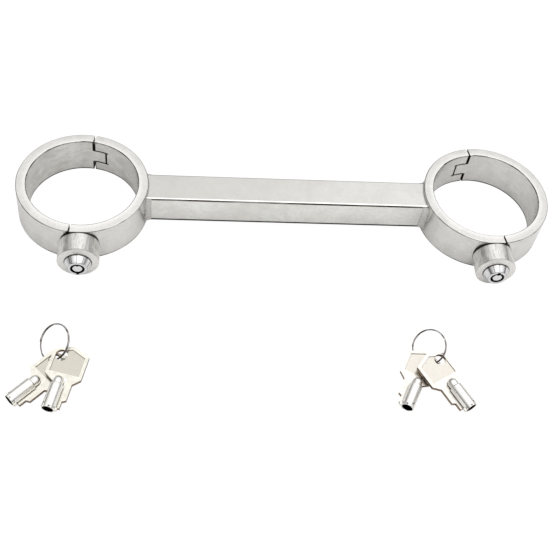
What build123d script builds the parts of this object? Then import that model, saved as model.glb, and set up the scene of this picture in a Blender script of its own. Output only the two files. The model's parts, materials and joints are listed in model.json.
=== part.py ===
from build123d import *
import math
import os

os.makedirs("parts", exist_ok=True)

# Rigid-bar handcuffs: two round hinged cuffs on a square bar, a tubular-key lock on each cuff,
# and two key sets lying in front. Millimetres, +Z up, X along the bar, locks facing -Y.

# ---------------------------------------------------------------- cuffs
CUFF_SPACING = 225.0          # between the two ring axes
RING_INNER_R = 30.0
RING_WALL = 5.5
RING_OUTER_R = RING_INNER_R + RING_WALL
RING_MID_R = RING_INNER_R + RING_WALL / 2
RING_HEIGHT = 22.0
RING_MID_Z = RING_HEIGHT / 2
RING_EDGE_R = 0.6
SPLIT_ANGLE = 8.5             # split plane, turned from the front-to-back line
SPLIT_GAP = 0.9

# ---------------------------------------------------------------- hinge at the back
TONGUE_HEIGHT = 8.0           # middle finger, on the moving half
FINGER_GAP = 0.4
TONGUE_LENGTH = 7.0           # past the split, along the wall's middle
PIN_SETBACK = 3.5             # hinge pin axis past the split
HINGE_PIN_R = 1.25
HINGE_PIN_RUNNING_GAP = 0.05
HINGE_PIN_RECESS = 0.03
SLOT_R = 5.2                  # slot end, round about the pin
EAR_RELIEF_R = 3.4            # outer corners of the ears, round about the pin

# ---------------------------------------------------------------- latch at the front
LATCH_LENGTH = 9.0
LATCH_OUTER_R = 34.8
LATCH_END_GAP = 0.4
SEAT_DEPTH = 0.4              # flat milled on the ring for the lock housing
MOVING_FLAT_GAP = 0.5

# ---------------------------------------------------------------- bar
BAR_SIZE = 18.0
BAR_EDGE_R = 1.0
BAR_WELD_R = 4.0
BAR_WELD_INSET = 0.5

# ---------------------------------------------------------------- lock, depth measured outwards from its seat
HOUSING_R = 10.9
HOUSING_LENGTH = 11.4
HOUSING_EDGE = 0.2
HOUSING_BACK = 2.0
FACE_RISE = 0.4               # the housing's front face is slightly conical
SHELL_R = 7.3
SHELL_BORE_R = 5.6
SHELL_FIT = 0.05
NOSE_BASE = 11.9
NOSE_TIP = 15.9
NOSE_FACE_R = 5.1
NOSE_EDGE = 0.2
LIP = 1.6
KEYWAY_R = 3.7
KEYWAY_DEPTH = 1.35           # groove in the rotor behind the lip
POST_R = 2.5
POST_RECESS = 0.2
POST_DENT = 0.6
NOTCH_WIDTH = 1.6
NOTCH_R = 4.6
STATOR_FIT = 0.05
ROTOR_FIT = 0.1
WEB_START = 8.6               # stator web, between the bolt chamber and the rotor
WEB_END = 11.3
END_PLAY = 0.05
SPINDLE_R = 1.8
SPINDLE_TIP_R = 1.2
SPINDLE_TIP_START = 3.2
CHAMBER_R = 3.75
CHAMBER_FLAT = 3.1
PIN_COUNT = 7
PIN_CIRCLE_R = 3.0
PIN_R = 0.45
PIN_HOLE_R = 0.5
PIN_HOLE_START = 9.2
DRIVER_START = 10.4
SPRING_RIDGES = 5
SPRING_MIN_R = 0.28
KEY_PIN_END_GAP = 0.15

BOLT_R = 2.4
BOLT_RUNNING_GAP = 0.05
BOLT_TIP = 0.1                # at rest the bolt is withdrawn flush with the seat
BOLT_HEAD_START = 5.1
BOLT_HEAD_END = 8.3
BOLT_HEAD_R = 3.4
BOLT_HEAD_FLAT = 2.9
BOLT_BORE_R = 1.35
BOLT_BORE_START = 2.6
BOLT_THROW = 3.0
BOLT_HOLE_GAP = 0.2
BOLT_HOLE_DEPTH = 3.8
QUARTER_TURN = 90.0
DRIVE_PIN_R = 0.45
DRIVE_PIN_HALF = 2.9
DRIVE_PIN_DEPTH = 4.4
DRIVE_SLOT_R = 0.62
DRIVE_SLOT_STEPS = 12

SCREW_R = 1.5
SCREW_DEPTH = 6.5
SCREW_INNER = 5.2
SCREW_OUTER = 10.1
SCREW_SOCKET_R = 0.75
SCREW_SOCKET_DEPTH = 1.6

LOCK_WELD_START = 5.4
LOCK_WELD_END = 8.4
LOCK_WELD_HALF = 6.0

# ---------------------------------------------------------------- keys
TUBE_R = 3.3
TUBE_BORE_R = 2.65
TUBE_LENGTH = 18.1
TUBE_WALL = TUBE_R - TUBE_BORE_R
BARREL_LENGTH = 13.6          # the full-width part of the tube
BARREL_EDGE = 0.5
STUB_R = 2.6                  # slimmer domed end
BORE_DEPTH = 12.8
KEY_CUT_DEPTHS = (1.2, 2.0, 0.8, 1.6, 2.2, 1.0, 1.4)
KEY_CUT_R = 0.55
NIB_WIDTH = 1.3
NIB_R = 4.3
NIB_LENGTH = 1.5
BOW_THICKNESS = 2.0
PANEL_DEPTH = 0.4
PANEL_INSET = 1.7
BOW_LEFT = -8.1               # bow sides, from the tube's axis
BOW_RIGHT = 10.0
BOW_SHOULDER = 19.0
BOW_CORNER = 32.0
BOW_PEAK = 36.0
PANEL_START = 20.6
STEM_RIGHT = 6.6
STEM_STEP = 7.0
STEM_TIP_RIGHT = 4.8
STEM_TIP = 2.2
EYE_R = 2.95
EYE_X = -3.4
EYE_Y = 30.0

KEY_RING_R = 9.2              # middle of the wire
KEY_RING_WIRE = 0.65
KEY_RING_HEIGHT = 1.2
KEY_RING_LEAN = 41.0
KEY_RING_LOW_SIDE = 205.0     # compass angle of the lowest point, from +X
UPPER_EYE_ANGLE = -3.0        # places of the two eyes round the ring
LOWER_EYE_ANGLE = 27.0
KEY_PITCH = 4.0               # the ring lifts the bows

# for each set: ring centre (x, y from the ring line), headings of the upper and lower key, stem on the right
KEY_SETS = {
    "left": ((-121.2, -93.4), (-15.0, -47.0), True),
    "right": ((69.3, -93.4), (30.0, -26.0), False),
}

HINGE_ANGLE = 90.0 - SPLIT_ANGLE - math.degrees(PIN_SETBACK / RING_MID_R)
HINGE_X = RING_MID_R * math.cos(math.radians(HINGE_ANGLE))
HINGE_Y = RING_MID_R * math.sin(math.radians(HINGE_ANGLE))
SEAT_Y = -(RING_OUTER_R - SEAT_DEPTH)
TONGUE_LOW = RING_MID_Z - TONGUE_HEIGHT / 2
TONGUE_HIGH = RING_MID_Z + TONGUE_HEIGHT / 2
FRONT_SPLIT = -90.0 - SPLIT_ANGLE
BACK_SPLIT = 90.0 - SPLIT_ANGLE
ROTOR_FRONT = NOSE_TIP - LIP - END_PLAY
ROTOR_BACK = WEB_END + END_PLAY


# ---------------------------------------------------------------- helpers
def span_box(x0, x1, y0, y1, z0, z1):
    """Box between two corners."""
    return Pos((x0 + x1) / 2, (y0 + y1) / 2, (z0 + z1) / 2) * Box(x1 - x0, y1 - y0, z1 - z0)


def post(radius, z0, z1, x=0.0, y=0.0):
    """Upright cylinder."""
    return Pos(x, y, (z0 + z1) / 2) * Cylinder(radius, z1 - z0)


def wall_segment(inner, outer, low, high, start, end):
    """Sector of the ring wall between two angles."""
    profile = Plane.XZ * Pos((inner + outer) / 2, (low + high) / 2) * Rectangle(outer - inner, high - low)
    return Rot(0, 0, start) * revolve(profile, Axis.Z, revolution_arc=end - start)


def turned(points):
    """Solid of revolution about Z from (radius, height) corners."""
    return revolve(Plane.XZ * make_face(Polyline(*points, close=True)), Axis.Z)


def group(solids):
    """Several separate solids in one node."""
    return Compound(children=list(solids))


# ---------------------------------------------------------------- cuff (ring axis on Z, bar on the +X side)
def ring_blank():
    section = Plane.XZ * Pos(RING_MID_R, RING_MID_Z) * RectangleRounded(RING_WALL, RING_HEIGHT, RING_EDGE_R)
    return revolve(section, Axis.Z)


def half_space(side):
    """Everything on one side of the split plane."""
    reach = 3 * RING_OUTER_R
    return Rot(0, 0, -SPLIT_ANGLE) * Pos(side * (reach + SPLIT_GAP) / 2, 0, RING_MID_Z) * Box(reach, reach, reach)


def at_hinge():
    """Frame at the hinge pin: X along the wall away from the split, Y outwards."""
    return Pos(HINGE_X, HINGE_Y, 0) * Rot(0, 0, HINGE_ANGLE - 90)


def fixed_half():
    half = ring_blank() & half_space(1)
    slot_low = TONGUE_LOW - FINGER_GAP
    slot_high = TONGUE_HIGH + FINGER_GAP
    half -= post(SLOT_R, slot_low, slot_high, HINGE_X, HINGE_Y)
    corner = span_box(-2 * SLOT_R, 0, 0, 2 * SLOT_R, -1, RING_HEIGHT + 1) - post(EAR_RELIEF_R, -2, RING_HEIGHT + 2)
    half -= at_hinge() * corner
    half -= post(HINGE_PIN_R, -1, RING_HEIGHT + 1, HINGE_X, HINGE_Y)
    latch_end = FRONT_SPLIT + math.degrees((LATCH_LENGTH + LATCH_END_GAP) / RING_MID_R)
    half -= wall_segment(RING_INNER_R - 1, RING_OUTER_R + 1, slot_low, slot_high, FRONT_SPLIT - 2, latch_end)
    half -= span_box(-HOUSING_R, HOUSING_R, SEAT_Y - HOUSING_R, SEAT_Y, -1, RING_HEIGHT + 1)
    return half


def moving_half():
    tongue_end = BACK_SPLIT - math.degrees(TONGUE_LENGTH / RING_MID_R)
    latch_end = FRONT_SPLIT + math.degrees(LATCH_LENGTH / RING_MID_R)
    inner = RING_INNER_R - 1
    outer = RING_OUTER_R + 1
    zone = half_space(-1)
    zone += wall_segment(inner, outer, TONGUE_LOW, TONGUE_HIGH, tongue_end, BACK_SPLIT + 2)
    zone += wall_segment(inner, outer, TONGUE_LOW, TONGUE_HIGH, FRONT_SPLIT - 2, latch_end)
    half = ring_blank() & zone
    half -= wall_segment(LATCH_OUTER_R, outer, TONGUE_LOW - 1, TONGUE_HIGH + 1, FRONT_SPLIT, latch_end + 1)
    flat_y = SEAT_Y + MOVING_FLAT_GAP
    half -= span_box(-HOUSING_R, -1, flat_y - HOUSING_R, flat_y, -1, RING_HEIGHT + 1)
    half -= post(HINGE_PIN_R + HINGE_PIN_RUNNING_GAP, -1, RING_HEIGHT + 1, HINGE_X, HINGE_Y)
    bolt_hole = at_seat() * post(BOLT_R + BOLT_HOLE_GAP, -BOLT_HOLE_DEPTH, 1)
    return half - bolt_hole


def hinge_pin():
    return post(HINGE_PIN_R, HINGE_PIN_RECESS, RING_HEIGHT - HINGE_PIN_RECESS, HINGE_X, HINGE_Y)


def bar_weld():
    """Ground weld fillets in the two upright corners between ring and bar."""
    half_bar = BAR_SIZE / 2
    fillet_y = half_bar + BAR_WELD_R
    fillet_x = math.sqrt((RING_OUTER_R + BAR_WELD_R) ** 2 - fillet_y ** 2)
    reach = RING_OUTER_R / (RING_OUTER_R + BAR_WELD_R)
    low = RING_MID_Z - half_bar + BAR_WELD_INSET
    high = RING_MID_Z + half_bar - BAR_WELD_INSET
    corner = span_box(fillet_x * reach, fillet_x, half_bar, fillet_y * reach, low, high)
    corner -= post(RING_OUTER_R, 0, RING_HEIGHT)
    corner -= post(BAR_WELD_R, 0, RING_HEIGHT, fillet_x, fillet_y)
    return group([corner, mirror(corner, Plane.XZ)])


def lock_weld():
    """Bead in the wedge between the lock housing and the fixed half."""
    low = RING_MID_Z - LOCK_WELD_HALF
    high = RING_MID_Z + LOCK_WELD_HALF
    bead = span_box(LOCK_WELD_START, LOCK_WELD_END, SEAT_Y, SEAT_Y + 2, low, high)
    return bead - post(RING_OUTER_R, 0, RING_HEIGHT)


# ---------------------------------------------------------------- bar
def bar():
    reach = CUFF_SPACING - 2 * math.sqrt(RING_OUTER_R ** 2 - (BAR_SIZE / 2) ** 2)
    blank = Pos(0, 0, RING_MID_Z) * Box(reach, BAR_SIZE, BAR_SIZE)
    blank = fillet(blank.edges().filter_by(Axis.X), BAR_EDGE_R)
    for side in (-1, 1):
        blank -= post(RING_OUTER_R, -1, RING_HEIGHT + 1, side * CUFF_SPACING / 2, 0)
    return blank


# ---------------------------------------------------------------- lock (built upright, outwards is +Z)
def at_seat():
    """Frame on the lock seat: Z points outwards (-Y), Y points up."""
    return Location(Plane((0, SEAT_Y, RING_MID_Z), x_dir=(1, 0, 0), z_dir=(0, -1, 0)))


def round_the_pins(solid):
    return [Rot(0, 0, 360 * i / PIN_COUNT) * Pos(PIN_CIRCLE_R, 0, 0) * solid for i in range(PIN_COUNT)]


def screw_bore():
    return Pos(0, -HOUSING_R, SCREW_DEPTH) * Rot(90, 0, 0) * Cylinder(SCREW_R, 2 * (HOUSING_R - SCREW_INNER))


def lock_housing():
    bore = SHELL_R + SHELL_FIT
    hole = BOLT_R + BOLT_RUNNING_GAP
    shape = turned([
        (hole, 0), (HOUSING_R - HOUSING_EDGE, 0), (HOUSING_R, HOUSING_EDGE),
        (HOUSING_R, HOUSING_LENGTH - HOUSING_EDGE), (HOUSING_R - HOUSING_EDGE, HOUSING_LENGTH),
        (bore, HOUSING_LENGTH + FACE_RISE), (bore, HOUSING_BACK), (hole, HOUSING_BACK),
    ])
    return shape - screw_bore()


def lock_shell(notch_angle):
    inside = NOSE_TIP - LIP
    shape = turned([
        (SHELL_BORE_R, HOUSING_BACK), (SHELL_R, HOUSING_BACK), (SHELL_R, NOSE_BASE),
        (NOSE_FACE_R + NOSE_EDGE, NOSE_TIP - NOSE_EDGE), (NOSE_FACE_R, NOSE_TIP),
        (KEYWAY_R, NOSE_TIP), (KEYWAY_R, inside), (SHELL_BORE_R, inside),
    ])
    notch = span_box(-NOTCH_WIDTH / 2, NOTCH_WIDTH / 2, POST_R, NOTCH_R, inside - 1, NOSE_TIP + 1)
    return shape - screw_bore() - Rot(0, 0, notch_angle) * notch


def lock_stator():
    outer = SHELL_BORE_R - STATOR_FIT
    body = post(outer, HOUSING_BACK, WEB_END)
    chamber = post(CHAMBER_R, HOUSING_BACK - 1, WEB_START)
    chamber &= span_box(-CHAMBER_FLAT, CHAMBER_FLAT, -CHAMBER_R, CHAMBER_R, 0, WEB_START)
    body -= chamber
    body -= post(SPINDLE_R + ROTOR_FIT / 2, 0, WEB_END + 1)
    for hole in round_the_pins(post(PIN_HOLE_R, PIN_HOLE_START, WEB_END + 1)):
        body -= hole
    return body - screw_bore()


def lock_rotor(notch_angle):
    body = post(SHELL_BORE_R - ROTOR_FIT, ROTOR_BACK, ROTOR_FRONT)
    groove_floor = ROTOR_FRONT - KEYWAY_DEPTH
    body -= post(KEYWAY_R, groove_floor, NOSE_TIP)
    body += post(POST_R, ROTOR_BACK, NOSE_TIP - POST_RECESS)
    body += post(SPINDLE_R, WEB_START - END_PLAY, ROTOR_BACK)
    body += post(SPINDLE_TIP_R, SPINDLE_TIP_START, ROTOR_BACK)
    for hole in round_the_pins(post(PIN_HOLE_R, ROTOR_BACK - 1, NOSE_TIP)):
        body -= hole & post(HOUSING_R, ROTOR_BACK - 1, ROTOR_FRONT)
    dent = span_box(-POST_DENT, POST_DENT, POST_R - POST_DENT, POST_R + 1, groove_floor, NOSE_TIP)
    body -= Rot(0, 0, notch_angle) * dent
    return body - Pos(0, 0, DRIVE_PIN_DEPTH) * Rot(90, 0, 0) * Cylinder(DRIVE_PIN_R, 4 * SPINDLE_R)


def drive_pin():
    return Pos(0, 0, DRIVE_PIN_DEPTH) * Rot(90, 0, 0) * Cylinder(DRIVE_PIN_R, 2 * DRIVE_PIN_HALF)


def lock_bolt():
    """Bolt with a flatted head; two quarter-turn helical slots take the drive pin."""
    head = post(BOLT_HEAD_R, BOLT_HEAD_START, BOLT_HEAD_END)
    head &= span_box(-BOLT_HEAD_FLAT, BOLT_HEAD_FLAT, -BOLT_HEAD_R, BOLT_HEAD_R, 0, NOSE_TIP)
    body = head + post(BOLT_R, BOLT_TIP, BOLT_HEAD_START)
    body -= post(BOLT_BORE_R, BOLT_BORE_START, BOLT_HEAD_END + 1)
    cutter = Rot(90, 0, 0) * Cylinder(DRIVE_SLOT_R, 4 * BOLT_HEAD_R)
    for step in range(DRIVE_SLOT_STEPS + 1):
        share = step / DRIVE_SLOT_STEPS
        body -= Pos(0, 0, DRIVE_PIN_DEPTH + share * BOLT_THROW) * Rot(0, 0, -share * QUARTER_TURN) * cutter
    return body


def key_pins():
    top = ROTOR_FRONT - KEYWAY_DEPTH - KEY_PIN_END_GAP
    return group(round_the_pins(post(PIN_R, ROTOR_BACK, top)))


def driver_pins():
    return group(round_the_pins(post(PIN_R, DRIVER_START, WEB_END - END_PLAY)))


def pin_springs():
    """Seven tiny springs, each drawn as a corrugated sleeve."""
    length = DRIVER_START - PIN_HOLE_START
    pitch = length / SPRING_RIDGES
    outline = [(0, PIN_HOLE_START)]
    for ridge in range(SPRING_RIDGES):
        base = PIN_HOLE_START + ridge * pitch
        outline.append((SPRING_MIN_R, base))
        outline.append((PIN_R, base + pitch / 2))
    outline.append((SPRING_MIN_R, DRIVER_START))
    outline.append((0, DRIVER_START))
    return group(round_the_pins(turned(outline)))


def grub_screw():
    body = Cylinder(SCREW_R, SCREW_OUTER - SCREW_INNER)
    socket = extrude(RegularPolygon(SCREW_SOCKET_R, 6), SCREW_SOCKET_DEPTH)
    body -= Pos(0, 0, (SCREW_OUTER - SCREW_INNER) / 2 - SCREW_SOCKET_DEPTH) * socket
    return Pos(0, -(SCREW_OUTER + SCREW_INNER) / 2, SCREW_DEPTH) * Rot(90, 0, 0) * body


# ---------------------------------------------------------------- keys (tube mouth at y = 0, bow along +Y)
def key_tube_blank():
    """Barrel with a slimmer domed end."""
    dome_start = TUBE_LENGTH - STUB_R
    barrel = turned([
        (0, 0), (TUBE_R, 0), (TUBE_R, BARREL_LENGTH - BARREL_EDGE), (TUBE_R - BARREL_EDGE, BARREL_LENGTH),
        (STUB_R, BARREL_LENGTH), (STUB_R, dome_start), (0, dome_start),
    ])
    return Pos(0, 0, TUBE_R) * Rot(-90, 0, 0) * (barrel + Pos(0, 0, dome_start) * Sphere(STUB_R))


def key_tube():
    """Hollow barrel, seven pin cuts round its mouth and an outer nib."""
    nib = span_box(TUBE_R - TUBE_WALL / 2, NIB_R, 0, NIB_LENGTH, -NIB_WIDTH / 2, NIB_WIDTH / 2)
    tube = key_tube_blank() + Pos(0, 0, TUBE_R) * nib
    tube -= Pos(0, BORE_DEPTH / 2 - 1, TUBE_R) * Rot(90, 0, 0) * Cylinder(TUBE_BORE_R, BORE_DEPTH + 2)
    for i, depth in enumerate(KEY_CUT_DEPTHS):
        cutter = Pos(TUBE_R, 0, 0) * Rot(90, 0, 0) * Cylinder(KEY_CUT_R, 2 * depth)
        tube -= Pos(0, 0, TUBE_R) * Rot(0, 360 * (i + 0.5) / len(KEY_CUT_DEPTHS), 0) * cutter
    return tube


def bow_outline(inset):
    """Six-sided bow: upright sides, a low roof peak and a straight lower edge."""
    slope = (BOW_PEAK - BOW_CORNER) / ((BOW_RIGHT - BOW_LEFT) / 2)
    roof_drop = inset * math.sqrt(1 + slope ** 2)
    corner = BOW_CORNER + inset * slope - roof_drop
    left = BOW_LEFT + inset
    right = BOW_RIGHT - inset
    return left, right, corner, BOW_PEAK - roof_drop


def key_bow():
    """Flat bow with a panel sunk in each face, an eye, and a stem beside the tube."""
    left, right, corner, peak = bow_outline(0)
    middle = (left + right) / 2
    neck = BOW_SHOULDER - TUBE_R
    outline = Polyline(
        (left, BOW_SHOULDER), (left, corner), (middle, peak), (right, corner), (right, BOW_SHOULDER),
        (STEM_RIGHT, neck), (STEM_RIGHT, STEM_STEP), (STEM_TIP_RIGHT, STEM_STEP - 1),
        (STEM_TIP_RIGHT, STEM_TIP), (0, STEM_TIP), (0, neck), (-TUBE_R, neck), close=True,
    )
    plate = extrude(make_face(outline), BOW_THICKNESS)
    left, right, corner, peak = bow_outline(PANEL_INSET)
    panel = Polyline(
        (left, PANEL_START), (left, corner), (middle, peak), (right, corner), (right, PANEL_START), close=True,
    )
    pocket = extrude(make_face(panel), PANEL_DEPTH)
    plate -= pocket
    plate -= Pos(0, 0, BOW_THICKNESS - PANEL_DEPTH) * pocket
    plate -= post(EYE_R, -1, BOW_THICKNESS + 1, EYE_X, EYE_Y)
    return plate - key_tube_blank()


def split_ring():
    """Two turns of round wire, one on the other."""
    offset = (KEY_RING_HEIGHT - KEY_RING_WIRE) / 2
    section = Pos(KEY_RING_R, offset) * Circle(KEY_RING_WIRE / 2) + Pos(KEY_RING_R, -offset) * Circle(KEY_RING_WIRE / 2)
    return revolve(Plane.XZ * section, Axis.Z)


def ring_lean():
    return Rot(0, 0, KEY_RING_LOW_SIDE) * Rot(0, KEY_RING_LEAN, 0)


def ring_centre_height():
    lean = math.radians(KEY_RING_LEAN)
    half_wire = KEY_RING_WIRE / 2
    offset = (KEY_RING_HEIGHT - KEY_RING_WIRE) / 2
    return KEY_RING_R * math.sin(lean) + offset * math.cos(lean) + half_wire


def eye_point(centre, angle):
    """Point of the leaning ring; angle 0 is level with the centre, 90 is the lowest point."""
    on_ring = Rot(0, 0, 90 - angle) * Pos(KEY_RING_R, 0, 0)
    place = Pos(centre[0], centre[1], ring_centre_height()) * ring_lean() * on_ring
    return place.position


def key_place(eye, heading, stem_right):
    """Location of a key whose eye sits at the given point."""
    eye_x = EYE_X if stem_right else -EYE_X
    turn = Pos(eye.X, eye.Y, eye.Z) * Rot(0, 0, heading) * Rot(KEY_PITCH, 0, 0)
    return turn * Pos(-eye_x, -EYE_Y, -BOW_THICKNESS / 2)


# ---------------------------------------------------------------- assembly
def cuff_nodes(side, place_x, mirrored):
    parts = {
        "fixed_half": fixed_half(),
        "moving_half": moving_half(),
        "hinge_pin": hinge_pin(),
        "bar_weld": bar_weld(),
        "lock_weld": lock_weld(),
    }
    if mirrored:
        parts = {name: mirror(shape, Plane.YZ) for name, shape in parts.items()}
    notch_angle = 0 if mirrored else 180
    lock = {
        "lock_housing": lock_housing(),
        "lock_shell": lock_shell(notch_angle),
        "lock_stator": lock_stator(),
        "lock_rotor": lock_rotor(0),
        "lock_drive_pin": drive_pin(),
        "lock_bolt": lock_bolt(),
        "lock_key_pins": key_pins(),
        "lock_driver_pins": driver_pins(),
        "lock_pin_springs": pin_springs(),
        "lock_grub_screw": grub_screw(),
    }
    parts.update({name: at_seat() * shape for name, shape in lock.items()})
    return {f"{side}_{name}": Pos(place_x, 0, 0) * shape for name, shape in parts.items()}


def key_set_nodes(side):
    centre, headings, stem_right = KEY_SETS[side]
    ring_place = Pos(centre[0], centre[1], ring_centre_height()) * ring_lean()
    nodes = {f"{side}_key_ring": ring_place * split_ring()}
    bow = key_bow()
    tube = key_tube()
    if not stem_right:
        bow = mirror(bow, Plane.YZ)
        tube = mirror(tube, Plane.YZ)
    for label, eye_angle, heading in zip("ab", (UPPER_EYE_ANGLE, LOWER_EYE_ANGLE), headings):
        place = key_place(eye_point(centre, eye_angle), heading, stem_right)
        nodes[f"{side}_key_{label}_bow"] = place * bow
        nodes[f"{side}_key_{label}_tube"] = place * tube
    return nodes


def all_nodes():
    nodes = {"bar": bar()}
    nodes.update(cuff_nodes("left", -CUFF_SPACING / 2, False))
    nodes.update(cuff_nodes("right", CUFF_SPACING / 2, True))
    for side in KEY_SETS:
        nodes.update(key_set_nodes(side))
    return nodes


def origin_shift(nodes):
    """Moves the bottom centre of the whole set's box to the origin."""
    boxes = [shape.bounding_box() for shape in nodes.values()]
    middle_x = (min(b.min.X for b in boxes) + max(b.max.X for b in boxes)) / 2
    middle_y = (min(b.min.Y for b in boxes) + max(b.max.Y for b in boxes)) / 2
    return Vector(-middle_x, -middle_y, -min(b.min.Z for b in boxes))


NODES = all_nodes()
SHIFT = origin_shift(NODES)
for node, shape in NODES.items():
    export_step(Pos(SHIFT.X, SHIFT.Y, SHIFT.Z) * shape, f"parts/{node}.step")
print("shift", SHIFT)
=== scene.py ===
import json
import math
import bmesh
import bpy
from mathutils import Matrix, Vector


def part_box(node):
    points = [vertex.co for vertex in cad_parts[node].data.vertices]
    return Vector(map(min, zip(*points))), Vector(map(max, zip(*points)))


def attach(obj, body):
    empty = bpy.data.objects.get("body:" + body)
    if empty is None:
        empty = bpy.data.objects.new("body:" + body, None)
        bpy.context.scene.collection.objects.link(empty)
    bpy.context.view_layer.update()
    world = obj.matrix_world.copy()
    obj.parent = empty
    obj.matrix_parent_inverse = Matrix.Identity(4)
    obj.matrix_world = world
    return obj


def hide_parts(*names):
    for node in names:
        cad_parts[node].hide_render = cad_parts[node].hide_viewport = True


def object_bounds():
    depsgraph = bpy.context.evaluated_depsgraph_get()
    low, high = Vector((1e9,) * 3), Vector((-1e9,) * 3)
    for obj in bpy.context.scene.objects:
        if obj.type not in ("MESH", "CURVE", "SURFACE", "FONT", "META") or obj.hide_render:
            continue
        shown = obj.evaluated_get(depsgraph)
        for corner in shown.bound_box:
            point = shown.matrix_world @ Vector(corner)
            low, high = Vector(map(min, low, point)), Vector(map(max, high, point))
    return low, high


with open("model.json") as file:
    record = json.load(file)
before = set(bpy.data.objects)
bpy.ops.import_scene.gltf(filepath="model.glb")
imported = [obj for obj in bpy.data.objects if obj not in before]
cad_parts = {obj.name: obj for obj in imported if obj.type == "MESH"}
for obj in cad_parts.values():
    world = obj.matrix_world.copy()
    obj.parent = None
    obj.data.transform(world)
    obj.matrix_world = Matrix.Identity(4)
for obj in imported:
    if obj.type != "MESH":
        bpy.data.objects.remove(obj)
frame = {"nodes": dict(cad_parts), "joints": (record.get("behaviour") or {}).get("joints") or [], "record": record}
cad_low, cad_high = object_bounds()

MM = 0.001
SIDES = ("left", "right")

# ---------------------------------------------------------------- places, read from the frame
bar_low, bar_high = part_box("bar")
RING_LINE_Y = (bar_low.y + bar_high.y) / 2
FLOOR_Z = cad_low.z


def joint_point(name):
    """Pivot of one of the record's joints."""
    return Vector(next(j["pos_m"] for j in frame["joints"] if j["name"] == name))


def mount_point(name):
    """Place of one of the record's mounts."""
    return Vector(next(m["pos_m"] for m in frame["record"]["mounts"] if m["name"] == name))


def record_axis(kind, name):
    """Direction of one of the record's joints or mounts."""
    return Vector(next(entry["axis"] for entry in kind if entry["name"] == name)).normalized()


cuff_centre = {side: mount_point(f"{side}_cuff_bore") for side in SIDES}
lock_centre = {side: joint_point(f"{side}_rotor_turn") for side in SIDES}

# ---------------------------------------------------------------- procedural materials


AO_SAMPLES = 8
BEVEL_SAMPLES = 6
EDGE_BEND = 0.06              # how far a rounded normal leaves the true one on a full edge
CREVICE_OPEN = (0.25, 0.75)   # openness of a deep gap, and of an open face
PRESSED = (6.0, 0.62, 0.97)   # reach in millimetres and openness limits of faces held against others


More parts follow.
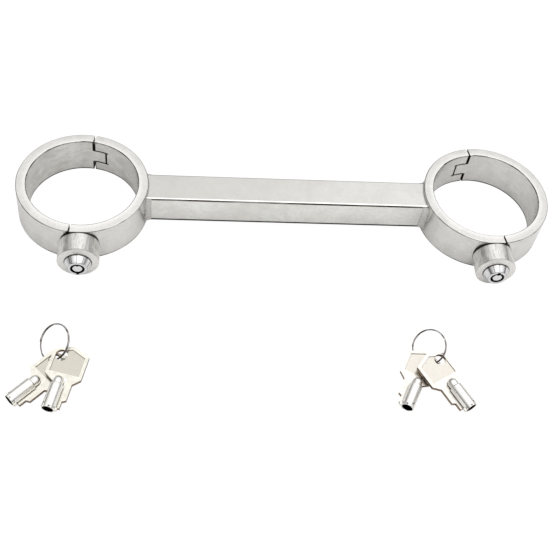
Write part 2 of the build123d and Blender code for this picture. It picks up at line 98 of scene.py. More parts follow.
class Nodes:
    """A material's node tree with short calls for adding and linking nodes."""

    def __init__(self, name):
        self.material = bpy.data.materials.new(name)
        self.material.use_nodes = True
        self.tree = self.material.node_tree
        self.tree.nodes.clear()

    def add(self, kind, inputs=None, **settings):
        node = self.tree.nodes.new("ShaderNode" + kind)
        for key, value in settings.items():
            setattr(node, key, value)
        for key, value in (inputs or {}).items():
            self.put(node.inputs[key], value)
        return node

    def put(self, socket, value):
        if isinstance(value, bpy.types.NodeSocket):
            self.tree.links.new(value, socket)
        elif isinstance(value, bpy.types.Node):
            self.tree.links.new(value.outputs[0], socket)
        else:
            socket.default_value = value

    def math(self, operation, *values):
        return self.add("Math", dict(enumerate(values)), operation=operation).outputs[0]

    def vector(self, operation, *values):
        node = self.add("VectorMath", dict(enumerate(values)), operation=operation)
        return node.outputs["Value"] if operation in ("LENGTH", "DOT_PRODUCT") else node.outputs[0]

    def spread(self, value, low, high, to_low, to_high):
        """value taken from low..high to to_low..to_high, held at the ends."""
        inputs = {"Value": value, "From Min": low, "From Max": high,
                  "To Min": to_low, "To Max": to_high}
        return self.add("MapRange", inputs, clamp=True).outputs[0]

    def mix(self, share, first, second):
        node = self.add("Mix", data_type="RGBA")
        self.put(node.inputs["Factor"], share)
        self.put(node.inputs[6], first)
        self.put(node.inputs[7], second)
        return node.outputs[2]

    def noise(self, place, scale, detail=3.0, rough=0.55, distortion=0.0):
        inputs = {"Vector": place, "Scale": scale, "Detail": detail, "Roughness": rough,
                  "Distortion": distortion}
        return self.add("TexNoise", inputs).outputs[0]

    def place_mm(self, centre):
        """Object coordinates in millimetres from a centre given in metres."""
        coordinates = self.add("TexCoord").outputs["Object"]
        moved = self.vector("SUBTRACT", coordinates, tuple(centre))
        scaled = self.add("VectorMath", {0: moved}, operation="SCALE")
        scaled.inputs["Scale"].default_value = 1 / MM
        return scaled.outputs[0]

    def join(self, x, y, z):
        return self.add("CombineXYZ", {0: x, 1: y, 2: z}).outputs[0]

    def split(self, vector):
        return self.add("SeparateXYZ", {0: vector}).outputs

    def band(self, value, low, high, soft):
        """1 while value lies between low and high, fading to 0 over the soft width outside them."""
        rise = self.spread(value, low - soft, low, 0.0, 1.0)
        fall = self.spread(value, high, high + soft, 1.0, 0.0)
        return self.math("MULTIPLY", rise, fall)

    def both(self, *masks):
        result = masks[0]
        for mask in masks[1:]:
            result = self.math("MULTIPLY", result, mask)
        return result

    def invert(self, mask):
        return self.math("SUBTRACT", 1.0, mask)

    def normal(self):
        """Surface normal in the object's own frame, so marks stay put when a body moves."""
        return self.add("TexCoord").outputs["Normal"]

    def shut_in(self, reach_mm, low, high):
        """1 on faces that another face stands close in front of, 0 on faces in the open."""
        node = self.add("AmbientOcclusion", {"Distance": reach_mm * MM}, samples=AO_SAMPLES)
        return self.spread(node.outputs["AO"], low, high, 1.0, 0.0)

    def edge_mask(self, radius_mm):
        """1 on edges and 0 on open faces, from how far a rounded normal leaves the true one."""
        true_normal = self.add("NewGeometry").outputs["Normal"]
        rounded = self.add("Bevel", {"Radius": radius_mm * MM}, samples=BEVEL_SAMPLES).outputs[0]
        alike = self.vector("DOT_PRODUCT", true_normal, rounded)
        return self.spread(alike, 1.0, 1.0 - EDGE_BEND, 0.0, 1.0)

    def crevice_mask(self, reach_mm):
        """1 on open faces and 0 deep in gaps narrower than the reach."""
        node = self.add("AmbientOcclusion", {"Distance": reach_mm * MM}, samples=AO_SAMPLES)
        return self.spread(node.outputs["AO"], *CREVICE_OPEN, 0.0, 1.0)

    def finish(self, normal=None, **inputs):
        shader = self.add("BsdfPrincipled")
        for key, value in inputs.items():
            self.put(shader.inputs[key.replace("_", " ")], value)
        if normal is not None:
            self.put(shader.inputs["Normal"], normal)
        output = self.add("OutputMaterial")
        self.tree.links.new(shader.outputs[0], output.inputs[0])
        return self.material


def turned_place(nodes, centre, axis):
    """Coordinates stretched along the turning direction about an axis: 'Z' for cuffs, 'Y' for locks."""
    place = nodes.place_mm(centre)
    x, y, z = nodes.split(place)
    across = (x, y) if axis == "Z" else (x, z)
    along = z if axis == "Z" else y
    radius = nodes.math("SQRT", nodes.math("ADD", nodes.math("MULTIPLY", across[0], across[0]),
                                           nodes.math("MULTIPLY", across[1], across[1])))
    angle = nodes.math("ARCTAN2", across[1], across[0])
    return place, radius, angle, along


# near-black painted shade, put in gaps, in crevices and on faces held against others
GAP_SHADE = (0.012, 0.010, 0.008, 1)


def metal(nodes, place, grain_place, light, dark, roughness, grain_rough, bump_depth, edge_r,
          edge_shade_colour, *, mottle_scale, mottle_rough=0.05, crevice=1.6, edge_shade_share=0.7, marks=()):
    """Metal look: streaked grain, soft mottling, painted shade along the edges, local marks, and painted shade in
    the gaps.
    """
    grain = nodes.noise(grain_place, 1.0, 4.0, 0.6)
    mottle = nodes.noise(place, mottle_scale, 3.0, 0.6, 0.4)
    blotch = nodes.noise(place, 4.5 * mottle_scale, 2.0, 0.5, 0.8)
    specks = nodes.noise(place, 1.3, 2.0, 0.5)
    tone = nodes.math("ADD", nodes.math("MULTIPLY", mottle, 0.5), nodes.math("MULTIPLY", grain, 0.25))
    tone = nodes.math("ADD", tone, nodes.math("MULTIPLY", blotch, 0.25))
    colour = nodes.mix(nodes.spread(tone, 0.38, 0.62, 0.0, 1.0), dark, light)
    # painted shade along the edges: edges are toned towards the edge colour
    edge = nodes.edge_mask(edge_r)
    colour = nodes.mix(nodes.math("MULTIPLY", edge, edge_shade_share), colour, edge_shade_colour)
    for mask, mark in marks:
        colour = nodes.mix(mask, colour, mark)
    # painted shade deep in gaps and crevices, found by an occlusion mask
    open_face = nodes.crevice_mask(crevice)
    colour = nodes.mix(open_face, GAP_SHADE, colour)
    rough = nodes.math(
        "ADD", nodes.spread(grain, 0.3, 0.7, roughness - grain_rough, roughness + grain_rough),
        nodes.spread(mottle, 0.35, 0.65, -mottle_rough, mottle_rough))
    rough = nodes.math("ADD", rough, nodes.spread(specks, 0.55, 0.75, 0.0, 0.03))
    rough = nodes.math("ADD", rough, nodes.spread(open_face, 0.0, 1.0, 0.35, 0.0))
    height = nodes.math("ADD", grain, nodes.math("MULTIPLY", mottle, 0.6))
    bump = nodes.add("Bump", {"Strength": 1.0, "Distance": bump_depth * MM, "Height": height})
    return nodes.finish(bump.outputs[0], Base_Color=colour, Metallic=1.0, Roughness=rough)


# the cuffs' edges, in millimetres: heights from the middle of the ring's height, radii from its axis
HALF_HEIGHT = 11.0
FINGER_HALF = 5.0
WALL_MIDDLE = 32.75
FINGER_REACH = 8.1            # the hinge slot's end, past the split
SPLIT_TURN = math.radians(8.5)
# share of painted shade on each cuff's bore, where the cloud is low and where it is high
INNER_SHADE = {"left": (0.05, 0.50), "right": (0.0, 0.18)}


def cuff_steel(side):
    """Brushed steel of one cuff, with painted dark reflection lines on its rounded edges, painted shade on the
    bore and along the foot of its walls, painted light and shade across its top, and painted shade in the split
    and finger gaps.
    """
    nodes = Nodes(f"cuff_steel_{side}")
    place, radius, angle, height = turned_place(nodes, cuff_centre[side], "Z")
    grain_place = nodes.join(nodes.math("MULTIPLY", radius, 5.0), nodes.math("MULTIPLY", angle, 3.0),
                             nodes.math("MULTIPLY", height, 5.0))
    x, y, _ = nodes.split(place)
    nx, ny, nz = nodes.split(nodes.normal())
    outward = nodes.math("DIVIDE", nodes.math("ADD", nodes.math("MULTIPLY", nx, x),
                                              nodes.math("MULTIPLY", ny, y)), radius)
    around = nodes.math("ABSOLUTE", nodes.math("DIVIDE", nodes.math(
        "SUBTRACT", nodes.math("MULTIPLY", ny, x), nodes.math("MULTIPLY", nx, y)), radius))
    level = nodes.math("ABSOLUTE", nz)
    upper = nodes.spread(height, 0.0, 1.0, 0.0, 1.0)
    rounded = nodes.band(nz, 0.14, 0.90, 0.08)
    uneven = nodes.spread(nodes.noise(place, 0.11, 2.0, 0.6), 0.40, 0.58, 0.35, 1.0)
    bore_side = nodes.spread(radius, WALL_MIDDLE - 0.5, WALL_MIDDLE + 0.5, 1.0, 0.0)
    rim_side = nodes.invert(bore_side)
    low_line = nodes.spread(height, 1.3 - HALF_HEIGHT, 0.8 - HALF_HEIGHT, 0.0, 1.0)
    pressed = nodes.shut_in(*PRESSED)
    cut_face = nodes.both(nodes.spread(around, 0.55, 0.75, 0.0, 1.0), pressed)
    finger_face = nodes.both(
        nodes.spread(level, 0.8, 0.9, 0.0, 1.0), pressed,
        nodes.spread(nodes.math("ABSOLUTE", height), FINGER_HALF, FINGER_HALF + 0.5, 1.0, 0.0))
    inner_wall = nodes.both(nodes.spread(outward, -0.9, -0.6, 1.0, 0.0),
                            nodes.spread(level, 0.2, 0.5, 1.0, 0.0))
    cloud = nodes.noise(nodes.vector("MULTIPLY", place, (0.16, 0.16, 0.35)), 1.0, 4.0, 0.65, 0.5)
    bore_shade = nodes.both(inner_wall, nodes.spread(cloud, 0.35, 0.65, *INNER_SHADE[side]))
    top_face = nodes.both(nodes.spread(nz, 0.9, 0.97, 0.0, 1.0), upper)
    split_x, split_y = math.cos(SPLIT_TURN), math.sin(SPLIT_TURN)
    toward_bar = 1.0 if side == "left" else -1.0
    past_split = nodes.vector("DOT_PRODUCT", place, (toward_bar * split_x, -split_y, 0.0))
    upright = nodes.spread(level, 0.3, 0.6, 1.0, 0.0)
    tall = nodes.math("ABSOLUTE", height)
    split_line = nodes.both(
        nodes.spread(nodes.math("ABSOLUTE", past_split), 0.75, 0.95, 1.0, 0.0), upright,
        nodes.spread(tall, FINGER_HALF - 1.1, FINGER_HALF - 0.9, 0.0, 1.0))
    finger_line = nodes.both(nodes.band(past_split, 0.0, FINGER_REACH, 0.2), upright, bore_side,
                             nodes.band(tall, FINGER_HALF - 1.15, FINGER_HALF - 0.40, 0.15))
    marks = [
        # painted shade on the bore, in clouds
        (bore_shade, (0.42, 0.40, 0.365, 1)),
        # painted shade on the outer part of the top and a painted highlight on its inner part, as if the top were
        # crowned
        (nodes.both(top_face, nodes.spread(radius, WALL_MIDDLE, WALL_MIDDLE + 2.4, 0.0, 0.25)),
         (0.58, 0.575, 0.565, 1)),
        (nodes.both(top_face, nodes.spread(radius, WALL_MIDDLE, WALL_MIDDLE - 1.8, 0.0, 0.7)),
         (0.93, 0.92, 0.90, 1)),
        # painted dark reflection lines on the rounded top edges, darkest on the bore side
        (nodes.both(rounded, upper, bore_side, uneven), (0.07, 0.055, 0.04, 1)),
        (nodes.both(rounded, upper, rim_side, uneven), (0.28, 0.27, 0.26, 1)),
        # painted shade along the foot of the walls, where they meet the floor
        (nodes.both(low_line, bore_side), (0.03, 0.025, 0.02, 1)),
        (nodes.both(low_line, rim_side, uneven), (0.22, 0.21, 0.19, 1)),
        # painted shade in the split and finger gaps, and on the cut and finger faces held against the other half
        (split_line, GAP_SHADE),
        (finger_line, GAP_SHADE),
        (cut_face, GAP_SHADE),
        (finger_face, GAP_SHADE),
    ]
    return metal(nodes, place, grain_place, (0.84, 0.83, 0.805, 1), (0.70, 0.69, 0.66, 1), 0.19, 0.05,
                 0.003, 0.5, (0.45, 0.43, 0.41, 1), mottle_scale=0.09, edge_shade_share=0.35, marks=marks)


BAR_HALF = 9.0                # half the square bar's side, in millimetres


def bar_steel():
    """Drawn steel of the bar, streaked along its length, with painted shade on its top and along its bottom edge,
    and a painted highlight and painted dark reflection lines on its upper edges.
    """
    nodes = Nodes("bar_steel")
    place = nodes.place_mm((bar_low + bar_high) / 2)
    grain_place = nodes.vector("MULTIPLY", place, (0.12, 4.0, 4.0))
    x, _, z = nodes.split(place)
    _, ny, nz = nodes.split(nodes.normal())
    front = nodes.spread(ny, -0.4, -0.2, 1.0, 0.0)
    back = nodes.spread(ny, 0.2, 0.4, 0.0, 1.0)
    uneven = nodes.spread(nodes.noise(place, 0.05, 2.0, 0.6), 0.40, 0.60, 0.55, 1.0)
    top = nodes.spread(nz, 0.9, 0.97, 0.0, 1.0)
    marks = [
        # painted shade on the top face, stronger towards -X
        (nodes.both(top, nodes.spread(x, -60.0, 90.0, 0.68, 0.30)), (0.55, 0.545, 0.52, 1)),
        # painted dark reflection line below a painted highlight on the upper front edge, and a painted dark
        # reflection line on the upper back edge
        (nodes.both(front, nodes.band(z, BAR_HALF - 1.30, BAR_HALF - 0.40, 0.08), uneven),
         (0.05, 0.032, 0.02, 1)),
        (nodes.both(front, nodes.band(nz, 0.76, 0.93, 0.04)), (0.95, 0.94, 0.92, 1)),
        (nodes.both(back, nodes.band(nz, 0.35, 0.92, 0.06)), (0.30, 0.29, 0.28, 1)),
        # painted shade along the bottom edge, over the floor
        (nodes.spread(z, 2.0 - BAR_HALF, 1.5 - BAR_HALF, 0.0, 1.0), (0.015, 0.014, 0.012, 1)),
    ]
    return metal(nodes, place, grain_place, (0.90, 0.895, 0.86, 1), (0.74, 0.73, 0.695, 1), 0.24, 0.06,
                 0.004, 0.6, (0.45, 0.43, 0.40, 1), mottle_scale=0.05, edge_shade_share=0.3, marks=marks)


def weld_steel():
    """Ground weld fillets, duller and more uneven than the steel beside them."""
    nodes = Nodes("weld_steel")
    place = nodes.place_mm((0, RING_LINE_Y, 0))
    grain_place = nodes.vector("MULTIPLY", place, (1.5, 1.5, 0.4))
    return metal(nodes, place, grain_place, (0.72, 0.71, 0.69, 1), (0.55, 0.54, 0.52, 1), 0.28, 0.06,
                 0.006, 0.4, (0.55, 0.53, 0.50, 1), mottle_scale=0.25, edge_shade_share=0.4)


HOUSING_FRONT = 11.4          # the lock housing's length from its seat, in millimetres
SEAT_BAND = 0.9               # width of the painted shade line where it meets the ring


def housing_steel(side):
    """Satin steel of one lock housing, streaked, with painted shade at the seat, a dark line at the front, and
    painted shade on the back face against the ring.
    """
    nodes = Nodes(f"housing_steel_{side}")
    place, radius, angle, along = turned_place(nodes, lock_centre[side], "Y")
    depth = nodes.math("MULTIPLY", along, -1.0)
    grain_place = nodes.join(nodes.math("MULTIPLY", radius, 6.0), nodes.math("MULTIPLY", angle, 5.0),
                             nodes.math("MULTIPLY", depth, 0.3))
    _, ny, _ = nodes.split(nodes.normal())
    on_side = nodes.spread(nodes.math("ABSOLUTE", ny), 0.3, 0.6, 1.0, 0.0)
    streak_place = nodes.join(nodes.math("MULTIPLY", angle, 3.2),
                              nodes.math("MULTIPLY", depth, 0.04), 0.0)
    streaks = nodes.spread(nodes.noise(streak_place, 3.4, 3.0, 0.6), 0.50, 0.62, 0.0, 0.7)
    back_face = nodes.spread(ny, 0.6, 0.8, 0.0, 1.0)
    marks = [
        (nodes.both(on_side, streaks), (0.46, 0.44, 0.41, 1)),
        # painted shade at the seat, where the housing meets the ring
        (nodes.both(on_side, nodes.spread(depth, SEAT_BAND - 0.5, SEAT_BAND, 1.0, 0.0)),
         (0.05, 0.04, 0.03, 1)),
        (nodes.both(on_side, nodes.band(depth, HOUSING_FRONT - 0.45, HOUSING_FRONT, 0.15)),
         (0.50, 0.48, 0.45, 1)),
        # painted shade on the back face, where it stands against the ring
        (nodes.both(back_face, nodes.shut_in(*PRESSED)), GAP_SHADE),
    ]
    return metal(nodes, place, grain_place, (0.90, 0.89, 0.86, 1), (0.76, 0.745, 0.71, 1), 0.36, 0.06,
                 0.003, 0.3, (0.40, 0.38, 0.36, 1), mottle_scale=0.2, edge_shade_share=0.5, marks=marks)


# radii of the lock nose, in millimetres
SHELL_EDGE_R = 7.3
NOSE_FACE_R = 5.1
KEYWAY_R = 3.7
POST_R = 2.5


def lock_chrome(side):
    """Bright shell of one lock, with the keyway painted black as shade and a painted shade line at its edge."""
    nodes = Nodes(f"lock_chrome_{side}")
    place, radius, angle, along = turned_place(nodes, lock_centre[side], "Y")
    grain_place = nodes.join(nodes.math("MULTIPLY", radius, 6.0), nodes.math("MULTIPLY", angle, 1.0),
                             nodes.math("MULTIPLY", along, 6.0))
    streak_place = nodes.join(nodes.math("MULTIPLY", angle, 2.6), 0.0, 0.0)
    streaks = nodes.spread(nodes.noise(streak_place, 2.1, 2.0, 0.6), 0.55, 0.60, 0.0, 0.85)
    on_cone = nodes.band(radius, NOSE_FACE_R + 0.1, SHELL_EDGE_R, 0.1)
    marks = [
        (nodes.both(on_cone, streaks), (0.20, 0.18, 0.16, 1)),
        # painted shade in the narrow gap at the shell's edge
        (nodes.spread(radius, SHELL_EDGE_R - 0.40, SHELL_EDGE_R - 0.15, 0.0, 1.0),
         (0.05, 0.04, 0.035, 1)),
        (nodes.band(radius, NOSE_FACE_R - 0.05, NOSE_FACE_R + 0.12, 0.1), (0.55, 0.54, 0.53, 1)),
        # painted shade: the keyway painted black
        (nodes.spread(radius, KEYWAY_R + 0.04, KEYWAY_R + 0.14, 1.0, 0.0), (0.006, 0.006, 0.006, 1)),
    ]
    return metal(nodes, place, grain_place, (0.84, 0.84, 0.85, 1), (0.70, 0.70, 0.71, 1), 0.18, 0.03,
                 0.001, 0.15, (0.75, 0.75, 0.75, 1), mottle_scale=0.3, mottle_rough=0.02, marks=marks)


def rotor_steel(side):
    """Turned steel of one rotor, with the keyway beyond the post's face painted black as shade."""
    nodes = Nodes(f"rotor_steel_{side}")
    place, radius, _, _ = turned_place(nodes, lock_centre[side], "Y")
    grain_place = nodes.vector("MULTIPLY", place, (3.0, 3.0, 3.0))
    # painted shade: the keyway beyond the post's face painted black
    groove = nodes.spread(radius, POST_R - 0.06, POST_R - 0.01, 0.0, 1.0)
    return metal(nodes, place, grain_place, (0.90, 0.90, 0.90, 1), (0.78, 0.78, 0.78, 1), 0.20, 0.05,
                 0.002, 0.12, (0.60, 0.60, 0.60, 1), mottle_scale=0.5,
                 marks=[(groove, (0.006, 0.006, 0.006, 1))])


def plain_metal(name, light, dark, roughness):
    """Metal of the small parts inside the locks."""
    nodes = Nodes(name)
    place = nodes.place_mm((0, 0, 0))
    grain_place = nodes.vector("MULTIPLY", place, (3.0, 3.0, 3.0))
    return metal(nodes, place, grain_place, light, dark, roughness, 0.05, 0.002, 0.12, dark,
                 mottle_scale=0.5)


# one key, in millimetres: heights from the bow's middle plane, backs from the bore's mouth
PANEL_HEIGHT = 0.8
TUBE_SEEN_R = 3.4
BORE_SEEN_R = 2.8
BORE_SEEN_BACK = -5.6
TUBE_BACK = -10.7


def key_nickel(side, label):
    """Nickel of one key: raised rim, duller sunk panel, painted shade on the cut edges, the bore painted black as
    shade, and a painted highlight along the tube.
    """
    nodes = Nodes(f"key_nickel_{side}_{label}")
    eye = joint_point(f"{side}_key_{label}_swing")
    across = record_axis(frame["joints"], f"{side}_key_{label}_swing")
    bore = mount_point(f"{side}_key_{label}_bore")
    along = record_axis(frame["record"]["mounts"], f"{side}_key_{label}_bore")
    place = nodes.place_mm(eye)
    normal = nodes.normal()
    facing = nodes.math("ABSOLUTE", nodes.vector("DOT_PRODUCT", normal, tuple(across)))
    height = nodes.math("ABSOLUTE", nodes.vector("DOT_PRODUCT", place, tuple(across)))
    from_bore = nodes.place_mm(bore)
    reach = nodes.vector("DOT_PRODUCT", from_bore, tuple(along))
    step = nodes.add("VectorMath", {0: tuple(along)}, operation="SCALE")
    nodes.put(step.inputs["Scale"], reach)
    off_axis = nodes.vector("SUBTRACT", from_bore, step.outputs[0])
    distance = nodes.vector("LENGTH", off_axis)
    flat = nodes.spread(facing, 0.85, 0.95, 0.0, 1.0)
    panel = nodes.both(flat, nodes.spread(height, PANEL_HEIGHT - 0.05, PANEL_HEIGHT + 0.05, 1.0, 0.0))
    on_tube = nodes.both(nodes.spread(distance, TUBE_SEEN_R, TUBE_SEEN_R + 0.1, 1.0, 0.0),
                         nodes.spread(reach, TUBE_BACK, TUBE_BACK + 0.1, 0.0, 1.0))
    side_face = nodes.both(nodes.spread(facing, 0.15, 0.4, 1.0, 0.0), nodes.invert(on_tube),
                           nodes.spread(height, 1.05, 1.15, 1.0, 0.0))
    short = nodes.add("VectorMath", {0: tuple(along)}, operation="SCALE")
    nodes.put(short.inputs["Scale"], nodes.math("MULTIPLY", reach, 0.05))
    streak_place = nodes.vector("ADD", off_axis, short.outputs[0])
    streaks = nodes.spread(nodes.noise(streak_place, 0.9, 3.0, 0.6), 0.44, 0.60, 1.0, 0.25)
    hollow = nodes.both(nodes.spread(distance, BORE_SEEN_R - 0.1, BORE_SEEN_R, 1.0, 0.0),
                        nodes.spread(reach, BORE_SEEN_BACK - 0.1, BORE_SEEN_BACK, 0.0, 1.0))
    tint = {"left": ((0.92, 0.89, 0.80), (0.60, 0.57, 0.50)),
            "right": ((0.94, 0.91, 0.85), (0.70, 0.665, 0.605))}
    light, panel_tone = tint[side]
    dark = tuple(0.74 * value for value in light)
    marks = [
        # painted highlight along the tube, broken by streaks
        (nodes.both(on_tube, streaks), (0.97, 0.955, 0.925, 1)),
        (panel, (*panel_tone, 1)),
        # painted shade on the cut side faces
        (side_face, (0.27, 0.20, 0.15, 1)),
        # painted shade: the bore painted black
        (hollow, (0.004, 0.003, 0.003, 1)),
    ]
    grain_place = nodes.vector("MULTIPLY", place, (2.0, 2.0, 2.0))
    return metal(nodes, place, grain_place, (*light, 1), (*dark, 1), 0.27, 0.06, 0.005, 0.18,
                 (0.60, 0.54, 0.47, 1), mottle_scale=0.3, edge_shade_share=0.6, marks=marks)


def paint(node, material):
    """Gives a CAD node one of the materials above."""
    slots = frame["nodes"][node].data.materials
    slots.clear()
    slots.append(material)


def paint_everything():
    """Gives each of the 41 CAD nodes its material."""
    paint("bar", bar_steel())
    weld = weld_steel()
    pin = plain_metal("pin_steel", (0.66, 0.66, 0.65, 1), (0.52, 0.52, 0.51, 1), 0.22)
    brass = plain_metal("lock_brass", (0.80, 0.62, 0.30, 1), (0.66, 0.49, 0.22, 1), 0.25)
    spring = plain_metal("spring_steel", (0.72, 0.71, 0.70, 1), (0.58, 0.57, 0.56, 1), 0.18)
    for side in SIDES:
        cuff = cuff_steel(side)
        chrome = lock_chrome(side)
        housing = housing_steel(side)
        rotor = rotor_steel(side)
        key_a = key_nickel(side, "a")
        key_b = key_nickel(side, "b")
        finishes = {
            "fixed_half": cuff, "moving_half": cuff, "hinge_pin": cuff,
            "bar_weld": weld, "lock_weld": weld,
            "lock_housing": housing, "lock_shell": chrome, "lock_stator": brass, "lock_rotor": rotor,
            "lock_drive_pin": pin, "lock_bolt": pin, "lock_key_pins": brass, "lock_driver_pins": brass,
            "lock_pin_springs": spring, "lock_grub_screw": pin, "key_ring": spring,
            "key_a_bow": key_a, "key_a_tube": key_a, "key_b_bow": key_b, "key_b_tube": key_b,
        }
        for part, material in finishes.items():
            paint(f"{side}_{part}", material)


paint_everything()

# ---------------------------------------------------------------- split rings of the key sets
RING_RADIUS = 9.2             # middle of the wire, in millimetres
RING_WIRE_R = 0.325
RING_TURN_OFFSET = 0.275      # each turn's middle, off the ring's own middle
RING_LEAN = 41.0              # degrees out of level
RING_LOW_SIDE = 205.0         # direction of the ring's low side, in degrees
RING_WIRE_END = 680           # degrees of wire, nearly two turns
RING_CROSSING = (348, 372)    # where the wire climbs from the first turn to the second
RING_STEP = 4
WIRE_SIDES = 14
WIRE_END_TAPER = 0.72


def wire_frame(degrees):
    """Point of the wire's middle, and the outward direction there, in the ring's own plane."""
    start, end = RING_CROSSING
    share = min(max((degrees - start) / (end - start), 0.0), 1.0)
    climb = share * share * (3 - 2 * share)
    angle = math.radians(degrees)
    outward = Vector((math.cos(angle), math.sin(angle), 0))
    return outward * RING_RADIUS + Vector((0, 0, RING_TURN_OFFSET * (2 * climb - 1))), outward


def add_split_ring(side):
    """Two turns of round wire with rounded ends, in place of the CAD ring."""
    low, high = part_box(f"{side}_key_ring")
    shape = bmesh.new()
    loops = []
    for degrees in range(0, RING_WIRE_END + 1, RING_STEP):
        middle, outward = wire_frame(degrees)
        from_end = min(degrees, RING_WIRE_END - degrees)
        radius = RING_WIRE_R * (WIRE_END_TAPER if from_end == 0 else 1.0)
        loop = []
        for k in range(WIRE_SIDES):
            turn = 2 * math.pi * k / WIRE_SIDES
            point = middle + radius * (outward * math.cos(turn) + Vector((0, 0, 1)) * math.sin(turn))
            loop.append(shape.verts.new(point * MM))
        loops.append(loop)
    for first, second in zip(loops, loops[1:]):
        for k in range(WIRE_SIDES):
            n = (k + 1) % WIRE_SIDES
            shape.faces.new((first[k], second[k], second[n], first[n]))
    shape.faces.new(loops[0])
    shape.faces.new(reversed(loops[-1]))
    bmesh.ops.recalc_face_normals(shape, faces=shape.faces)
    mesh = bpy.data.meshes.new(f"{side}_split_ring")
    shape.to_mesh(mesh)
    shape.free()
    for face in mesh.polygons:
        face.use_smooth = len(face.vertices) == 4
    ring = bpy.data.objects.new(f"{side}_split_ring", mesh)
    turned = Matrix.Rotation(math.radians(RING_LOW_SIDE), 4, "Z")
    mesh.transform(turned @ Matrix.Rotation(math.radians(RING_LEAN), 4, "Y"))
    ring.location = (low + high) / 2
    bpy.context.scene.collection.objects.link(ring)
    mesh.materials.append(ring_wire(side))
    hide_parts(f"{side}_key_ring")
    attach(ring, f"{side}_key_ring")


def ring_wire(side):
    """Tarnished spring steel of one split ring."""
    nodes = Nodes(f"ring_wire_{side}")
    place = nodes.place_mm((0, 0, 0))
    grain_place = nodes.vector("MULTIPLY", place, (3.0, 3.0, 3.0))
    tarnish = nodes.spread(nodes.noise(place, 0.30, 2.0, 0.5), 0.42, 0.58, 0.0, 0.9)
    return metal(nodes, place, grain_place, (0.62, 0.60, 0.59, 1), (0.30, 0.27, 0.26, 1), 0.20, 0.05,
                 0.002, 0.08, (0.4, 0.38, 0.37, 1), mottle_scale=0.5, crevice=0.5,
                 marks=[(tarnish, (0.12, 0.09, 0.085, 1))])


for ring_side in SIDES:
    add_split_ring(ring_side)

# ---------------------------------------------------------------- camera, fitted to the photograph
CAMERA_PLACE = Vector((-71.09, -374.04, 436.92))    # in millimetres from the ring line
CAMERA_AZIMUTH = -10.859
CAMERA_ELEVATION = 52.418
CAMERA_ROLL = 9.869
CAMERA_LENS = 66.43
CAMERA_SENSOR = 36.0
CAMERA_CLIP = (0.01, 50)


def make_camera():
    """The camera that was fitted to the photograph."""
    azimuth, elevation, roll = map(math.radians, (CAMERA_AZIMUTH, CAMERA_ELEVATION, CAMERA_ROLL))
    back = Vector((math.sin(azimuth) * math.cos(elevation), -math.cos(azimuth) * math.cos(elevation),
                   math.sin(elevation)))
    right = Vector((math.cos(azimuth), math.sin(azimuth), 0))
    up = back.cross(right)
    rolled_right = right * math.cos(roll) + up * math.sin(roll)
    rolled_up = up * math.cos(roll) - right * math.sin(roll)
    turn = Matrix((rolled_right, rolled_up, back)).transposed().to_4x4()
    data = bpy.data.cameras.new("camera")
    data.lens = CAMERA_LENS
    data.sensor_width = CAMERA_SENSOR
    data.clip_start, data.clip_end = CAMERA_CLIP
    camera = bpy.data.objects.new("camera", data)
    place = CAMERA_PLACE * MM + Vector((0, RING_LINE_Y, FLOOR_Z))
    camera.matrix_world = Matrix.Translation(place) @ turn
    bpy.context.scene.collection.objects.link(camera)
    bpy.context.scene.camera = camera


# ---------------------------------------------------------------- floor and light
FLOOR_RADIUS = 6.0
FLOOR_SIDES = 96
FLOOR_DROP = 0.00002          # below the lowest piece, so that the faces don't coincide
FLOOR_SEEN_WHITE = 0.92       # share of plain white in the floor as it is seen, over its shading
FLOOR_WHITE = 1.06            # strength of that plain white


def make_floor():
    """A staged white floor that the camera sees almost without shadow."""
    mesh = bpy.data.meshes.new("floor")
    shape = bmesh.new()
    bmesh.ops.create_circle(shape, cap_ends=True, segments=FLOOR_SIDES, radius=FLOOR_RADIUS)
    shape.to_mesh(mesh)
    shape.free()
    floor = bpy.data.objects.new("floor", mesh)
    floor.location.z = FLOOR_Z - FLOOR_DROP
    bpy.context.scene.collection.objects.link(floor)
    nodes = Nodes("floor_white")
    tone = nodes.noise(nodes.place_mm((0, 0, 0)), 0.01, 2.0)
    colour = nodes.mix(tone, (0.88, 0.88, 0.88, 1), (0.90, 0.90, 0.90, 1))
    paper = nodes.add("BsdfDiffuse", {"Color": colour})
    white = nodes.add("Emission", {"Color": (1, 1, 1, 1), "Strength": FLOOR_WHITE})
    seen = nodes.math("MULTIPLY", nodes.add("LightPath").outputs["Is Camera Ray"], FLOOR_SEEN_WHITE)
    mixed = nodes.add("MixShader", {0: seen, 1: paper, 2: white})
    nodes.tree.links.new(mixed.outputs[0], nodes.add("OutputMaterial").inputs[0])
    mesh.materials.append(nodes.material)


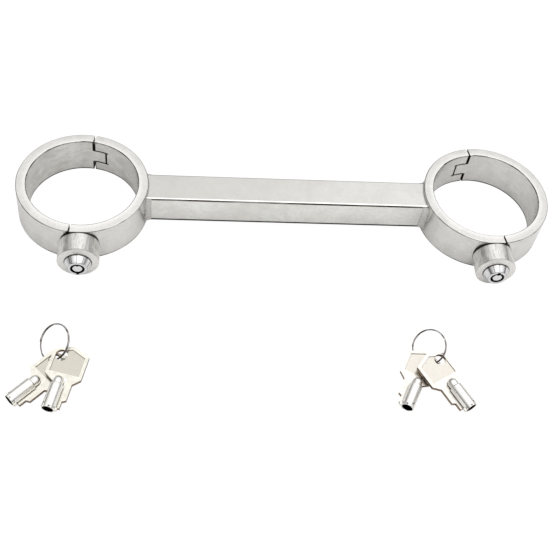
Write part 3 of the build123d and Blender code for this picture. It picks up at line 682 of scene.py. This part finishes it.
# level of the studio dome at heights from the horizon (0) to overhead (1)
DOME = ((0.0, 0.80), (0.05, 0.75), (0.14, 0.16), (0.36, 0.20), (0.55, 0.62), (0.70, 0.72),
        (0.82, 1.0), (0.92, 1.0), (1.0, 0.80))
DOME_STRENGTH = 1.30
DOME_SIDEWAYS = 0.25          # brighter towards +X
SOFTBOX_PLACE = (0.2, -0.2, 1.9)
SOFTBOX_SIZE = (1.2, 0.8)
SOFTBOX_WATTS = 3


def make_world():
    """A studio dome: bright overhead, a dark band low down, pale at the horizon."""
    world = bpy.data.worlds.new("studio")
    bpy.context.scene.world = world
    world.use_nodes = True
    tree = world.node_tree
    tree.nodes.clear()
    coordinates = tree.nodes.new("ShaderNodeTexCoord")
    parts = tree.nodes.new("ShaderNodeSeparateXYZ")
    ramp = tree.nodes.new("ShaderNodeValToRGB")
    sideways = tree.nodes.new("ShaderNodeMath")
    sideways.operation = "MULTIPLY_ADD"
    sideways.inputs[1].default_value = DOME_STRENGTH * DOME_SIDEWAYS
    sideways.inputs[2].default_value = DOME_STRENGTH
    background = tree.nodes.new("ShaderNodeBackground")
    output = tree.nodes.new("ShaderNodeOutputWorld")
    tree.links.new(coordinates.outputs["Generated"], parts.inputs[0])
    tree.links.new(parts.outputs["Z"], ramp.inputs[0])
    tree.links.new(parts.outputs["X"], sideways.inputs[0])
    tree.links.new(sideways.outputs[0], background.inputs["Strength"])
    tree.links.new(ramp.outputs[0], background.inputs["Color"])
    tree.links.new(background.outputs[0], output.inputs[0])
    elements = ramp.color_ramp.elements
    elements[0].position, elements[1].position = DOME[0][0], DOME[-1][0]
    for height, _ in DOME[1:-1]:
        elements.new(height)
    for element, (_, level) in zip(elements, DOME):
        element.color = (level, level, level, 1)


def add_softbox(name, place, target, size, power):
    """A rectangular area light that looks at a target."""
    data = bpy.data.lights.new(name, "AREA")
    data.shape = "RECTANGLE"
    data.size, data.size_y = size
    data.energy = power
    light = bpy.data.objects.new(name, data)
    light.location = place
    light.rotation_mode = "QUATERNION"
    light.rotation_quaternion = (Vector(place) - Vector(target)).to_track_quat("Z", "Y")
    bpy.context.scene.collection.objects.link(light)


make_camera()
make_floor()
make_world()
add_softbox("overhead", SOFTBOX_PLACE, (0, RING_LINE_Y, 0), SOFTBOX_SIZE, SOFTBOX_WATTS)

bpy.context.scene.view_settings.view_transform = "Standard"
